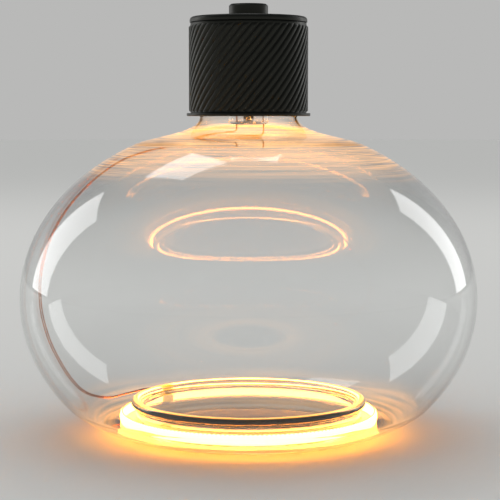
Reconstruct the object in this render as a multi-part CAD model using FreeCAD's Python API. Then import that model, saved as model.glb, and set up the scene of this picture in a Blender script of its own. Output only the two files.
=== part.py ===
"""Clear glass globe lamp with a glowing LED ring on its floor, screwed into a knurled metal lampholder.

Millimetres, +Z up. The origin is the centre of the glass foot ring, on the surface that it stands on.
The lamp and the holder share the Z axis. -Y is the side that faces the viewer.
"""
import FreeCAD, Part
import os
from math import acos, asin, atan, cos, degrees, pi, radians, sin, sqrt, tan

V = FreeCAD.Vector

# Clearances
seat = 0.1                  # between pieces that rest on each other
fit = 0.06                  # running clearance of a hole

# Glass globe
wall = 1.2                  # thickness of the blown glass
globe_r = 100.0             # radius at the widest place
globe_rise = 77.5           # half height of the ellipse that the globe follows
globe_z = 60.0              # height of the widest place
throat_start_r = 50.0       # where the globe leaves the ellipse and sweeps up into the neck
throat_pull_globe = 9.9     # how far the throat holds the direction of the globe
throat_pull_neck = 7.7      # how far it holds the direction of the neck
neck_r = 21.3               # neck just under the holder
neck_z = 139.5              # where the throat has become the neck, at the lower edge of the holder
shoulder_up = 4.5           # from there to the top of the neck's shoulder inside the holder
shoulder_out = 3.5          # outer rounding of the shoulder
shoulder_in = 3.0           # hollow rounding above it
tip_gap = 0.65              # between the narrow end of the neck and the screw cap round it
tip_high = 11.0             # from the shoulder to its open edge

# Foot, floor and the plug pushed up in the floor
knee_z = 13.5               # where the globe turns in towards its foot
knee_round = 20.0           # radius of that turn
knee_slope = radians(36.0)  # slope of the glass after the turn
foot_slope = radians(10.0)  # slope with which it arrives at the foot ring
foot_round = 2.0            # rounding of the foot ring towards the globe
foot_flat = 1.0             # ground flat that it stands on
foot_in_round = 1.0         # rounding towards the recess
floor_z = 5.0               # flat floor round the plug, on which the LED strip stands
floor_round = 1.5           # hollow corner between the floor and the plug
plug_top = 13.5             # height of the centre of the rolled rim
rim_round = 2.0             # radius of the rolled rim
rim_lean = 1.25             # how far its centre stands outside the recess wall
rim_low = -62.0             # where the rim's arc starts, degrees from the outward direction
rim_high = 145.0            # where it ends
rim_tuck = 1.6              # height of the fillet under the rim
lid_tuck = 3.2              # width of the fillet between the rim and the lid
plug_edge = 13.0            # height of the plug's lid beside the rim
plug_middle = 14.2          # height of the lid in the middle
recess_round = 3.0          # hollow corner under the lid

# LED strip
strip_gap = 3.9             # from the rolled rim to the strip
strip_thick = 0.3
strip_high = 4.9
band_gap = 0.02             # film of glue between strip and silicone
band_thick = 0.9            # silicone on each face of the strip
band_bulge = 0.35           # how far its face swells
band_high = 3.9
band_up = 0.3               # bare strip below the silicone
joint_azimuth = 134.0       # where the ends of the strip meet, degrees from +X
joint_long = 7.0
joint_wall = 0.4
joint_gap = 0.12            # between the strip and the sleeve round its ends
end_gap = 1.0               # between the two ends of the strip

# Stem
stem_gap = 1.0              # between the tube and the narrow end of the neck
stem_wall = 1.0
stem_drop = 4.9             # how far the stem hangs below the start of the neck
stem_round = 2.2
flare_high = 6.0            # height of the flare that meets the neck
flare_lip = 1.0             # straight end of the flare
exhaust_r = 2.2
exhaust_bore = 1.2
exhaust_up = 2.0            # how far the sealed tube stands above the flare

# Lead wires
wire_r = 0.3
wire_azimuth = 167.0        # side of the globe that the wires run down
wire_space = 2.2            # distance between the two wires on the glass
wire_step = 0.9             # difference in height of their first bends
plus_in = 3.8               # how far inside the tube's outer face each wire leaves the stem
minus_in = 2.4
exit_back = 2.0             # how far behind the axis
wire_drop = 5.5             # how far each wire hangs below the stem before it turns
hug = 0.45                  # clearance between wire and glass
throat_share = 0.62         # place on the throat's curve where the wire nears the glass
throat_clear = 1.6          # how far it stays below the throat there
leave_out = 10.5            # distance from the strip where the wire leaves the glass
leave_up = 6.6              # its height above the floor there
over_out = 2.6              # how far it arches outside the strip, and above the joint
solder_turn = 1.3           # half the angle between the two solder places on the joint
arch_turn = 9.0             # how far along the strip the arch starts, degrees
arch_space = 1.2            # distance between the two arches

# Screw cap
pitch = 3.629               # E27 round thread, right-handed
cap_root_r = 12.15
thread_rise = 0.95
thread_half = 1.15          # half the width of a thread at its root
sheet = 0.3
cap_rim_gap = 0.2           # between the glass and the rim of the cap
cap_rim_out = 1.05          # how far the rim stands outside the root of the thread
cap_rim_high = 3.2
cap_rim_taper = 1.2
first_turn_up = 5.0         # from the rim to the centre of the first turn
thread_turns = 3.4
cap_high = 19.8             # from the rim to the cone
cap_shoulder_r = 8.2
cap_shoulder_high = 3.0     # height of the cone
cap_curl = 1.4              # inward edge that holds the insulator
insulator_high = 2.4
insulator_deep = 1.6        # its collar inside the cap
contact_r = 4.8
contact_edge = 0.3
contact_high = 1.0
rivet_r = 1.82              # rivet of the contact
rivet_hole_r = 1.92
rivet_long = 3.4
cement_gap = 0.05

# Driver inside the cap, heights from the end of the glass
board_gap = 1.45            # between the board and the cap
board_up = 3.0
board_thick = 1.0
board_bore = 3.0
parts_in = 3.6              # from the edge of the board to the ring on which its parts stand
capacitor_r = 2.6
capacitor_high = 6.6
capacitor_turn = 33.0       # place on that ring, degrees from +X
capacitor_round = 0.4
choke_r = 2.1
choke_high = 4.6
choke_turn = 219.0
choke_flange = 0.8
choke_waist = 0.5           # depth of the winding space
fuse_r = 1.1
fuse_high = 5.0
bridge_size = (4.8, 3.8, 2.4)
bridge_turn = 146.0
chip_size = (4.9, 3.9, 1.5)
chip_turn = 322.0
feed_r = 0.35
feed_slant = 1.0            # half the height over which the contact wire crosses to the axis
shell_feed_in = 1.8         # from the edge of the board
shell_feed_high = 2.4

# Knurled skirt of the holder
neck_gap = 2.3              # between the neck of the glass and the skirt
skirt_wall = 2.4            # from the bore to the crests of the ridges
skirt_high = 40.5
ridge_rise = 0.75
ridges = 46
ridge_lean = radians(40.0)  # slant of the ridges from the axis
lip_out = 1.0
lip_high = 1.3
edge_bevel = 0.3
plain_high = 1.2            # smooth collar at each end of the ridges

# Threaded sleeve, insert and contacts of the holder
sleeve_gap = 0.42           # between the crests of the cap and the sleeve
sleeve_sheet = 0.35
sleeve_up = 2.4             # from the rim of the cap to the sleeve
sleeve_over = 2.2           # from the cone of the cap to the closed end of the sleeve
sleeve_curl = 0.6           # rolled edge at its mouth
sleeve_curl_high = 0.4
sleeve_curl_taper = 0.8
sleeve_inward = 3.0         # width of the closed end
sleeve_thread_half = 0.62
sleeve_thread_turns = 3.0
sleeve_thread_rise = 0.95
insert_gap = 0.5
insert_long = 9.2           # how far the insert reaches down round the sleeve
insert_over = 2.4           # from the closed end of the sleeve to the plate of the insert
insert_thick = 2.8
insert_wall = 2.6
insert_recess = 3.0         # room round the centre contact
tongue_wide = 5.0
tongue_thick = 0.6
tongue_gap = 0.35           # between the tongue and the contact of the cap
tongue_past = 2.6           # how far the tongue reaches past the contact
tongue_rivet_out = 5.0
tongue_rivet_r = 1.0
tongue_rivet_head = 0.3
terminal_size = (6.0, 5.0, 4.4)
terminal_up = 0.5           # floor of its pocket above the underside of the plate
terminal_out = 12.5
terminal_screw_r = 1.5
terminal_screw_deep = 1.4
conductor_r = 1.1           # hole for the conductor
conductor_low = 0.4         # how far it lies below the middle of the block
insert_screw_r = 1.4
insert_screw_edge = 2.7     # from the edge of the insert to the middle of a screw
insert_screw_head = 2.2
insert_screw_cap = 1.6      # height of the screw heads
insert_screw_grip = 1.2     # how far a screw reaches into the lid
slot_wide = 0.6             # screwdriver slots
slot_deep = 0.6

# Top cap and entry bush
lid_thick = 2.4
lid_round = 1.6
lid_in = 0.4                # how far the lid stands back from the ridges
spigot_high = 3.2
spigot_wall = 1.2
bush_neck_r = 6.0
bush_flange_r = 8.5
bush_bore = 4.5
bush_high = 5.4
bush_below = 4.2
bush_bevel = 0.8
bush_bore_bevel = 0.5

# Heights and radii that follow
tip_r = cap_root_r - sheet - tip_gap
stem_r = tip_r - wall - stem_gap
cap_rim_r = cap_root_r + cap_rim_out
board_r = cap_root_r - sheet - board_gap
shoulder_z = neck_z + shoulder_up
tip_z = shoulder_z + tip_high
stem_low = neck_z - stem_drop
exhaust_top = tip_z + exhaust_up
cap_rim_z = shoulder_z + shoulder_in + cap_rim_gap
cap_cone_z = cap_rim_z + cap_high
cap_top = cap_cone_z + cap_shoulder_high
contact_z = cap_top + insulator_high + 2 * seat
contact_top = contact_z + contact_high
board_z = tip_z + board_up
parts_ring = board_r - parts_in
skirt_bore = neck_r + neck_gap
skirt_r = skirt_bore + skirt_wall
skirt_low = neck_z
skirt_top = skirt_low + skirt_high
lip_r = skirt_r + lip_out
sleeve_r = cap_root_r + thread_rise + sleeve_gap
sleeve_low = cap_rim_z + sleeve_up
sleeve_top = cap_top + sleeve_over
insert_plate = sleeve_top + insert_over
insert_low = sleeve_top - insert_long
insert_top = insert_plate + insert_thick
insert_r = skirt_bore - seat - spigot_wall - insert_gap
insert_screw_out = insert_r - insert_screw_edge
terminal_z = insert_plate + terminal_up + terminal_size[2] / 2


def at(r, z):
    """A point of an outline in the plane of X and Z."""
    return V(r, 0, z)


def line(a, b):
    return Part.LineSegment(a, b).toShape()


def arc(a, b, c):
    return Part.Arc(a, b, c).toShape()


def on_circle(centre, radius, angle):
    """Point of a circle, angle in degrees from +X towards +Z."""
    return centre[0] + radius * cos(radians(angle)), centre[1] + radius * sin(radians(angle))


def round_corner(centre, radius, start, end):
    """Arc about a centre from one angle to another."""
    spots = [at(*on_circle(centre, radius, angle)) for angle in (start, (start + end) / 2, end)]
    return arc(*spots)


def tangent_arc(start, end, upright):
    """Arc to a point that leaves its start upright, or else level."""
    across, rise = end[0] - start[0], end[1] - start[1]
    along, aside = (rise, across) if upright else (across, rise)
    bend = (along ** 2 + aside ** 2) / (2 * aside)
    half = asin(along / bend) / 2
    on, off = bend * sin(half), bend * (1 - cos(half))
    middle = (start[0] + off, start[1] + on) if upright else (start[0] + on, start[1] + off)
    return arc(at(*start), at(*middle), at(*end))


def dome(radius, edge, middle):
    """Arc from an edge to the axis, as of a shallow spherical lid."""
    rise = middle - edge
    ball = (radius ** 2 + rise ** 2) / (2 * rise)
    halfway = middle - ball + sqrt(ball ** 2 - radius ** 2 / 4)
    return arc(at(radius, edge), at(radius / 2, halfway), at(0, middle))


def chain(*points):
    """Straight edges from point to point."""
    spots = [at(*p) for p in points]
    return [line(a, b) for a, b in zip(spots, spots[1:])]


def turned(edges):
    """Solid of revolution of a closed outline."""
    wire = Part.Wire(Part.__sortEdges__(edges))
    solid = Part.Face(wire).revolve(V(0, 0, 0), V(0, 0, 1), 360)
    return solid if solid.ShapeType == "Solid" else solid.Solids[0]


def lathe(*points):
    """Solid of revolution of a polygon given as radius and height."""
    return turned(chain(*points, points[0]))


def tube(inner, outer, low, high):
    return lathe((inner, low), (outer, low), (outer, high), (inner, high))


def rod(r, x, y, low, high):
    return Part.makeCylinder(r, high - low, V(x, y, low))


def block(centre, size):
    corner = V(*[c - s / 2 for c, s in zip(centre, size)])
    return Part.makeBox(size[0], size[1], size[2], corner)


def spun(shape, angle):
    copy = shape.copy()
    copy.rotate(V(0, 0, 0), V(0, 0, 1), angle)
    return copy


def bent_wire(points, radius, first_bend=None):
    """Round wire along straight runs joined by tangent arcs, each as large as its two runs allow.

    first_bend, where given, is the largest radius of the first arc.
    """
    share = 0.45
    edges = []
    last = V(*points[0])
    for a, b, c in zip(points, points[1:], points[2:]):
        a, b, c = V(*a), V(*b), V(*c)
        back, on = a.sub(b), c.sub(b)
        reach = share * min(back.Length, on.Length)
        back.normalize()
        on.normalize()
        half = acos(max(-1, min(1, -back.dot(on)))) / 2
        bend = reach / tan(half)
        if first_bend and not edges:
            bend = min(bend, first_bend)
            reach = bend * tan(half)
        start, end = b.add(back * reach), b.add(on * reach)
        inward = back.add(on)
        inward.normalize()
        middle = b.add(inward * (bend / cos(half) - bend))
        edges += [line(last, start), arc(start, middle, end)]
        last = end
    edges.append(line(last, V(*points[-1])))
    path = Part.Wire(edges)
    first = V(*points[1]).sub(V(*points[0]))
    ring = Part.Wire(Part.Circle(V(*points[0]), first, radius).toShape())
    return path.makePipeShell([ring], True, False).Solids[0]


def round_thread(root, crest, half, low, turns, sunk):
    """Ridge of round section along a right-handed helix that starts on +X at height low.

    sunk is the radius inside the sheet from which the ridge rises.
    """
    outline = [line(at(sunk, -half), at(sunk, half)), arc(at(sunk, half), at(crest, 0), at(sunk, -half))]
    helix = Part.makeHelix(pitch, pitch * turns, root)
    ridge = helix.makePipeShell([Part.Wire(outline)], True, True)
    ridge.translate(V(0, 0, low))
    return ridge.Solids[0]


def throat_curve(inset):
    """Curve from the neck down to the globe, at a depth inside the outer face of the glass."""
    a, b = globe_r - inset, globe_rise - inset
    rise = b * sqrt(1 - (throat_start_r / a) ** 2)
    slope = atan((b / a) ** 2 * throat_start_r / rise)
    start_z = globe_z + rise
    curve = Part.BezierCurve()
    neck = neck_r - inset
    pull_r, pull_z = throat_pull_globe * cos(slope), throat_pull_globe * sin(slope)
    curve.setPoles([at(neck, neck_z), at(neck, neck_z - throat_pull_neck - inset),
                    at(throat_start_r - pull_r, start_z + pull_z), at(throat_start_r, start_z)])
    return curve


def globe_arc(inset):
    """Half axes of the ellipse at a depth, its angles at knee and throat, and its slope at the knee."""
    a, b = globe_r - inset, globe_rise - inset
    outer_turn = asin((globe_z - knee_z) / globe_rise)
    slope = atan(globe_rise / globe_r / tan(outer_turn))
    return a, b, atan(b / a / tan(slope)), acos(throat_start_r / a), slope


def skin(inset):
    """Edges of the glass surface from the neck to the end of the knee, and the point where they end."""
    a, b, t_low, t_top, slope = globe_arc(inset)
    ellipse = Part.Ellipse(at(a, globe_z), at(0, globe_z + b), at(0, globe_z))
    side = Part.ArcOfEllipse(ellipse, -t_low, t_top)
    knee = knee_round - inset
    centre = (a * cos(t_low) - knee * sin(slope), globe_z - b * sin(t_low) + knee * cos(slope))
    turn = round_corner(centre, knee, degrees(slope) - 90, degrees(knee_slope) - 90)
    end = (centre[0] + knee * sin(knee_slope), centre[1] - knee * cos(knee_slope))
    return [throat_curve(inset).toShape(), side.toShape(), turn], end


def base_arc():
    """Radius of the flat arc under the globe, and the radius of the foot ring."""
    r_after, z_after = skin(0)[1]
    bend = (z_after - foot_round * (1 - cos(foot_slope))) / (cos(foot_slope) - cos(knee_slope))
    foot = r_after - bend * (sin(knee_slope) - sin(foot_slope)) - foot_round * sin(foot_slope)
    return bend, foot


BASE_BEND, FOOT_R = base_arc()
RECESS_R = FOOT_R - foot_flat - foot_in_round
PLUG_R = RECESS_R + wall
RIM = (RECESS_R + rim_lean, plug_top)
STRIP_R = RIM[0] + rim_round + strip_gap
STRIP_LOW = floor_z + seat
BORE_R = tip_r - wall
JOINT_TOP = STRIP_LOW + strip_high + joint_gap + joint_wall


def arc_point(start, bend, slope_from, slope_to):
    """Where an arc under the globe ends that starts at a point with one slope and ends with another."""
    return (start[0] - bend * (sin(slope_from) - sin(slope_to)),
            start[1] - bend * (cos(slope_to) - cos(slope_from)))


def base_edge(start, bend, slope_to):
    """Arc under the globe from the end of the knee, and the point where it ends."""
    halfway = arc_point(start, bend, knee_slope, (knee_slope + slope_to) / 2)
    end = arc_point(start, bend, knee_slope, slope_to)
    return arc(at(*start), at(*halfway), at(*end)), end


def glass_outside():
    """Outer face of the glass from the neck to the middle of the recess."""
    edges, knee_end = skin(0)
    edges.append(base_edge(knee_end, BASE_BEND, foot_slope)[0])
    edges.append(round_corner((FOOT_R, foot_round), foot_round, degrees(foot_slope) - 90, -90))
    edges += chain((FOOT_R, 0), (FOOT_R - foot_flat, 0))
    edges.append(round_corner((FOOT_R - foot_flat, foot_in_round), foot_in_round, -90, -180))
    lid_under = plug_edge - wall
    lid_start = RECESS_R - recess_round
    edges += chain((RECESS_R, foot_in_round), (RECESS_R, lid_under - recess_round))
    edges.append(round_corner((lid_start, lid_under - recess_round), recess_round, 0, 90))
    edges.append(dome(lid_start, lid_under, plug_middle - wall))
    edges += chain((0, plug_middle - wall), (0, plug_middle))
    return edges


def glass_inside():
    """Inner face of the glass from the neck over the floor and the rolled rim to the middle of the lid."""
    edges, knee_end = skin(wall)
    bend = BASE_BEND - wall
    floor_slope = acos(cos(knee_slope) + (knee_end[1] - floor_z) / bend)
    base, floor_start = base_edge(knee_end, bend, floor_slope)
    corner = (PLUG_R + floor_round, floor_z + floor_round)
    under = on_circle(RIM, rim_round, rim_low)
    tuck_z = under[1] - rim_tuck
    edges.append(base)
    edges += chain(floor_start, (corner[0], floor_z))
    edges.append(round_corner(corner, floor_round, -90, -180))
    edges += chain((PLUG_R, corner[1]), (PLUG_R, tuck_z))
    edges.append(tangent_arc((PLUG_R, tuck_z), under, True))
    edges.append(round_corner(RIM, rim_round, rim_low, rim_high))
    behind = on_circle(RIM, rim_round, rim_high)
    lid_edge = (behind[0] - lid_tuck, plug_edge)
    edges.append(tangent_arc(lid_edge, behind, False))
    edges.append(dome(*lid_edge, plug_middle))
    return edges


def neck_end():
    """Both faces of the neck: shoulder, hollow and the narrow open end inside the screw cap."""
    shoulder = (neck_r - shoulder_out, shoulder_z - shoulder_out)
    hollow = (tip_r + shoulder_in, shoulder_z + shoulder_in)
    edges = chain((neck_r, neck_z), (neck_r, shoulder[1]))
    edges.append(round_corner(shoulder, shoulder_out, 0, 90))
    edges += chain((shoulder[0], shoulder_z), (hollow[0], shoulder_z))
    edges.append(round_corner(hollow, shoulder_in, -90, -180))
    edges += chain((tip_r, hollow[1]), (tip_r, tip_z), (BORE_R, tip_z), (BORE_R, hollow[1]))
    edges.append(round_corner(hollow, shoulder_in + wall, -180, -90))
    edges += chain((hollow[0], shoulder_z - wall), (shoulder[0], shoulder_z - wall))
    edges.append(round_corner(shoulder, shoulder_out - wall, 90, 0))
    edges += chain((neck_r - wall, shoulder[1]), (neck_r - wall, neck_z))
    return edges


def glass_envelope():
    """Blown globe, one wall thick from the neck to the plug in its floor."""
    return turned(glass_outside() + glass_inside() + neck_end())


def stem():
    """Glass tube with a rounded closed end, a flare that meets the neck and the sealed exhaust tube."""
    inside = stem_r - stem_wall
    flare_r = BORE_R - seat
    flare_z = tip_z - flare_high
    floor = stem_low + stem_wall
    corner = (stem_r - stem_round, stem_low + stem_round)
    seal = exhaust_top - exhaust_r
    edges = chain((0, stem_low), (corner[0], stem_low))
    edges.append(round_corner(corner, stem_round, -90, 0))
    edges += chain((stem_r, corner[1]), (stem_r, flare_z), (flare_r, tip_z - flare_lip), (flare_r, tip_z),
                   (flare_r - stem_wall, tip_z), (inside, flare_z), (inside, corner[1]))
    edges.append(round_corner(corner, stem_round - stem_wall, 0, -90))
    edges += chain((corner[0], floor), (exhaust_r, floor), (exhaust_r, seal))
    edges.append(round_corner((0, seal), exhaust_r, 0, 90))
    edges += chain((0, exhaust_top), (0, seal))
    edges.append(round_corner((0, seal - exhaust_bore), exhaust_bore, 90, 0))
    edges += chain((exhaust_bore, seal - exhaust_bore), (exhaust_bore, floor), (0, floor), (0, stem_low))
    body = turned(edges)
    for x in (plus_in - stem_r, stem_r - minus_in):
        body = body.cut(rod(wire_r + fit, x, exit_back, stem_low - 1, floor + 1))
    return body.Solids[0]


def joint_slot(ring, length):
    """The ring with a gap where the ends of the strip meet."""
    box = ring.BoundBox
    slot = block((STRIP_R, 0, box.Center.z), (STRIP_R, length, box.ZLength + 2))
    return ring.cut(spun(slot, joint_azimuth)).Solids[0]


def led_strip():
    """Flexible strip on edge round the plug."""
    return joint_slot(tube(STRIP_R, STRIP_R + strip_thick, STRIP_LOW, STRIP_LOW + strip_high), end_gap)


def phosphor_band(side):
    """Silicone bead with a bulging face on one face of the strip. side is 1 for outside and -1 for inside."""
    low = STRIP_LOW + band_up
    high = low + band_high
    back = STRIP_R + strip_thick * (side > 0) + side * band_gap
    face = back + side * band_thick
    edge = face - side * band_bulge
    edges = chain((edge, low), (back, low), (back, high), (edge, high))
    edges.append(arc(at(edge, low), at(face, (low + high) / 2), at(edge, high)))
    return joint_slot(turned(edges), joint_long + 2 * seat)


def strip_joint():
    """Folded metal sleeve that holds the two ends of the strip together."""
    inner = STRIP_R - joint_gap
    outer = STRIP_R + strip_thick + joint_gap
    shell = tube(inner - joint_wall, outer + joint_wall, STRIP_LOW, JOINT_TOP)
    shell = shell.cut(tube(inner, outer, STRIP_LOW - 1, JOINT_TOP - joint_wall))
    keep = block((STRIP_R, 0, (STRIP_LOW + JOINT_TOP) / 2), (STRIP_R / 4, joint_long, 2 * strip_high))
    return shell.common(spun(keep, joint_azimuth)).Solids[0]


def lead_wire(exit_x, side):
    """Wire from the driver board through the stem, down the inside of the glass and to the joint.

    side is 1 for the wire that is soldered further along the strip, and -1 for the other.
    """
    inset = wall + hug + wire_r
    a, b, t_low, t_top, knee_start = globe_arc(inset)
    out = V(cos(radians(wire_azimuth)), sin(radians(wire_azimuth)), 0)
    across = V(-out.y, out.x, 0) * (side * wire_space / 2)

    def on_side(r, z):
        spot = out * r + across
        return (spot.x, spot.y, z)

    def over_strip(past_joint, r, z):
        angle = radians(joint_azimuth + past_joint)
        return (r * cos(angle), r * sin(angle), z)

    throat = throat_curve(inset).value(throat_share)
    bend_z = stem_low - wire_drop + side * wire_step
    points = [(exit_x, exit_back, board_z - seat), (exit_x, exit_back, bend_z)]
    points.append(on_side(throat.x, throat.z - throat_clear))
    steps = 8
    half = (t_top + t_low) / steps / 2
    for i in range(steps):
        t = t_top - half * (2 * i + 1)
        points.append(on_side(a * cos(t) / cos(half), globe_z + b * sin(t) / cos(half)))
    knee = (knee_round - inset) * tan((knee_start - knee_slope) / 2)
    knee_r, knee_low = a * cos(t_low), globe_z - b * sin(t_low)
    points.append(on_side(knee_r - knee * cos(knee_start), knee_low - knee * sin(knee_start)))
    points.append(on_side(STRIP_R + leave_out, floor_z + leave_up))
    arch_r = STRIP_R + over_out - side * arch_space / 2
    points.append(over_strip(arch_turn + side, arch_r, JOINT_TOP + over_out))
    points.append(over_strip(side * solder_turn, STRIP_R + strip_thick / 2, JOINT_TOP + wire_r + seat))
    return bent_wire(points, wire_r, first_bend=6 * wire_r)


def cap_shell():
    """Rolled screw cap: plain rim, round thread and the cone that closes onto the insulator."""
    rim_top = cap_rim_z + cap_rim_high
    root_low = rim_top + cap_rim_taper
    rim_in, root_in = cap_rim_r - sheet, cap_root_r - sheet
    body = lathe((rim_in, cap_rim_z), (cap_rim_r, cap_rim_z), (cap_rim_r, rim_top), (cap_root_r, root_low),
                 (cap_root_r, cap_cone_z), (cap_shoulder_r, cap_top), (cap_shoulder_r - cap_curl, cap_top),
                 (cap_shoulder_r - cap_curl, cap_top - sheet), (cap_shoulder_r - sheet / 3, cap_top - sheet),
                 (root_in, cap_cone_z), (root_in, root_low), (rim_in, rim_top))
    thread = round_thread(cap_root_r, cap_root_r + thread_rise, thread_half, cap_rim_z + first_turn_up,
                          thread_turns, cap_root_r - sheet / 2)
    return body.fuse(thread).Solids[0]


def cap_insulator():
    """Cone of black glass on the end of the cap, with a collar inside it."""
    low = cap_top + seat
    collar = cap_shoulder_r - cap_curl - 2 * seat
    return lathe((rivet_hole_r, low - insulator_deep), (collar, low - insulator_deep), (collar, low),
                 (cap_shoulder_r - sheet, low), (contact_r + contact_edge, low + insulator_high),
                 (rivet_hole_r, low + insulator_high))


def cap_contact():
    """Pressed button on the insulator, with the rivet that passes through it."""
    low = contact_z - rivet_long
    edges = chain((0, low), (rivet_r, low), (rivet_r, contact_z), (contact_r, contact_z),
                  (contact_r, contact_z + contact_edge))
    edges.append(dome(contact_r, contact_z + contact_edge, contact_top))
    edges += chain((0, contact_top), (0, low))
    return turned(edges)


def cap_cement():
    """Ring of cement between the end of the glass and the rim of the cap."""
    inner, outer = tip_r + cement_gap, cap_rim_r - sheet - cement_gap
    return tube(inner, outer, cap_rim_z + sheet, cap_rim_z + cap_rim_high)


def driver_board():
    return tube(board_bore, board_r, board_z, board_z + board_thick)


def on_board(high):
    """Lower and upper height of a component that stands on the board."""
    low = board_z + board_thick + seat
    return low, low + high


def on_ring(turn):
    """Place on the ring on which the parts of the board stand."""
    return parts_ring * cos(radians(turn)), parts_ring * sin(radians(turn))


def chip_block(turn, size):
    low, top = on_board(size[2])
    return block((*on_ring(turn), (low + top) / 2), size)


def smoothing_capacitor():
    low, top = on_board(capacitor_high)
    can = rod(capacitor_r, *on_ring(capacitor_turn), low, top)
    upper = [e for e in can.Edges if e.BoundBox.ZMin > top - seat]
    return can.makeFillet(capacitor_round, upper)


def choke():
    """Ferrite bobbin with a waist for its winding."""
    low, top = on_board(choke_high)
    place = on_ring(choke_turn)
    bobbin = rod(choke_r, *place, low, top)
    waist = tube(choke_r - choke_waist, 2 * choke_r, low + choke_flange, top - choke_flange)
    waist.translate(V(*place, 0))
    return bobbin.cut(waist).Solids[0]


def fuse_resistor():
    return rod(fuse_r, 0, -parts_ring, *on_board(fuse_high))


def contact_wire():
    """From the top of the fuse resistor to the rivet of the centre contact."""
    start = on_board(fuse_high)[1] + seat
    end = contact_z - rivet_long - seat
    middle = (start + end) / 2
    return bent_wire([(0, -parts_ring, start), (0, -parts_ring, middle - feed_slant),
                      (0, 0, middle + feed_slant), (0, 0, end)], feed_r)


def shell_wire():
    """From the edge of the board to the inside of the cap."""
    low, high = on_board(shell_feed_high)
    out, reach = board_r - shell_feed_in, cap_root_r - sheet - seat
    return bent_wire([(0, out, low), (0, out, high), (0, reach, high)], feed_r)


def reeded_band(low, high):
    """Bar whose surface is slanted round ridges, swept along the axis while it turns."""
    root = skirt_r - ridge_rise
    step = 2 * pi / ridges
    edges = []
    for i in range(ridges):
        ends = [V(root * cos(a), root * sin(a), low) for a in (i * step, (i + 1) * step)]
        crest = V(skirt_r * cos((i + 0.5) * step), skirt_r * sin((i + 0.5) * step), low)
        edges.append(arc(ends[0], crest, ends[1]))
    spine = Part.Wire([line(V(0, 0, low), V(0, 0, high))])
    guide = Part.makeHelix(2 * pi * skirt_r / tan(ridge_lean), high - low, root)
    guide.translate(V(0, 0, low))
    sweep = Part.BRepOffsetAPI.MakePipeShell(spine)
    sweep.setAuxiliarySpine(guide, True, False)
    sweep.add(Part.Wire(edges), False, False)
    sweep.build()
    sweep.makeSolid()
    return sweep.shape()


def knurled_skirt():
    """Turned sleeve with a lip at its lower edge and slanted ridges between two smooth collars."""
    low = skirt_low + lip_high + plain_high
    high = skirt_top - plain_high
    root = skirt_r - ridge_rise
    lip_top = skirt_low + lip_high
    plain = lathe((skirt_bore, skirt_low), (lip_r - edge_bevel, skirt_low), (lip_r, skirt_low + edge_bevel),
                  (lip_r, lip_top), (root, lip_top + edge_bevel), (root, skirt_top - edge_bevel),
                  (root - edge_bevel, skirt_top), (skirt_bore, skirt_top))
    inside_wall = (skirt_bore + root) / 2
    band = reeded_band(low, high).cut(rod(inside_wall, 0, 0, low - 1, high + 1))
    return plain.fuse(band).Solids[0]


def holder_shell():
    """Threaded sleeve that the cap screws into."""
    outer = sleeve_r + sleeve_sheet
    curl = outer + sleeve_curl
    body = lathe((sleeve_r, sleeve_low), (curl, sleeve_low), (curl, sleeve_low + sleeve_curl_high),
                 (outer, sleeve_low + sleeve_curl_high + sleeve_curl_taper), (outer, sleeve_top),
                 (outer - sleeve_inward, sleeve_top), (outer - sleeve_inward, sleeve_top - sleeve_sheet),
                 (sleeve_r, sleeve_top - sleeve_sheet))
    first_turn = cap_rim_z + first_turn_up + pitch / 2
    thread = round_thread(sleeve_r, sleeve_r - sleeve_thread_rise, sleeve_thread_half, first_turn,
                          sleeve_thread_turns, sleeve_r + sleeve_sheet / 2)
    return body.fuse(thread).Solids[0]


def holder_insert():
    """Ceramic insert: a plate with a skirt round the threaded sleeve."""
    inner = sleeve_r + sleeve_sheet + seat
    recess = contact_r + insert_recess
    body = lathe((inner, insert_low), (inner + insert_wall, insert_low), (inner + insert_wall, insert_plate),
                 (insert_r, insert_plate), (insert_r, insert_top), (0, insert_top), (0, insert_plate),
                 (recess, insert_plate), (recess, sleeve_top + seat), (inner, sleeve_top + seat))
    for x in (-terminal_out, terminal_out):
        body = body.cut(block((x, 0, terminal_z), [s + 2 * seat for s in terminal_size]))
    for y in (-insert_screw_out, insert_screw_out):
        body = body.cut(rod(insert_screw_r + seat, 0, y, insert_plate - 1, insert_top + 1))
        body = body.cut(rod(insert_screw_head + seat, 0, y, insert_low - 1, insert_plate))
    body = body.cut(rod(tongue_rivet_r + seat, -tongue_rivet_out, 0, insert_plate - 1, insert_top + 1))
    return body.Solids[0]


def terminal_block(x):
    """Brass block with a hole for the conductor and one for its clamping screw."""
    way_z = terminal_z - conductor_low
    body = block((x, 0, terminal_z), terminal_size)
    way = Part.makeCylinder(conductor_r, 2 * terminal_size[1], V(x, -terminal_size[1], way_z), V(0, 1, 0))
    screw_way = rod(terminal_screw_r + seat, x, 0, way_z, terminal_z + terminal_size[2])
    return body.cut(way).cut(screw_way).Solids[0]


def terminal_screws():
    top = terminal_z + terminal_size[2] / 2
    screws = []
    for x in (-terminal_out, terminal_out):
        slot = block((x, 0, top), (4 * terminal_screw_r, slot_wide, 2 * slot_deep))
        screws.append(rod(terminal_screw_r, x, 0, top - terminal_screw_deep, top).cut(slot).Solids[0])
    return Part.makeCompound(screws)


def holder_contact():
    """Sprung tongue under the insert that presses on the centre contact, with its rivet."""
    low = contact_top + tongue_gap
    middle = low + tongue_thick / 2
    reach = contact_r + tongue_past
    tongue = block((0, 0, middle), (2 * reach, tongue_wide, tongue_thick))
    tongue = tongue.common(rod(reach, 0, 0, low - 1, low + tongue_thick + 1))
    rivet = rod(tongue_rivet_r, -tongue_rivet_out, 0, middle, insert_top + tongue_rivet_head)
    return tongue.fuse(rivet).Solids[0]


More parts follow.
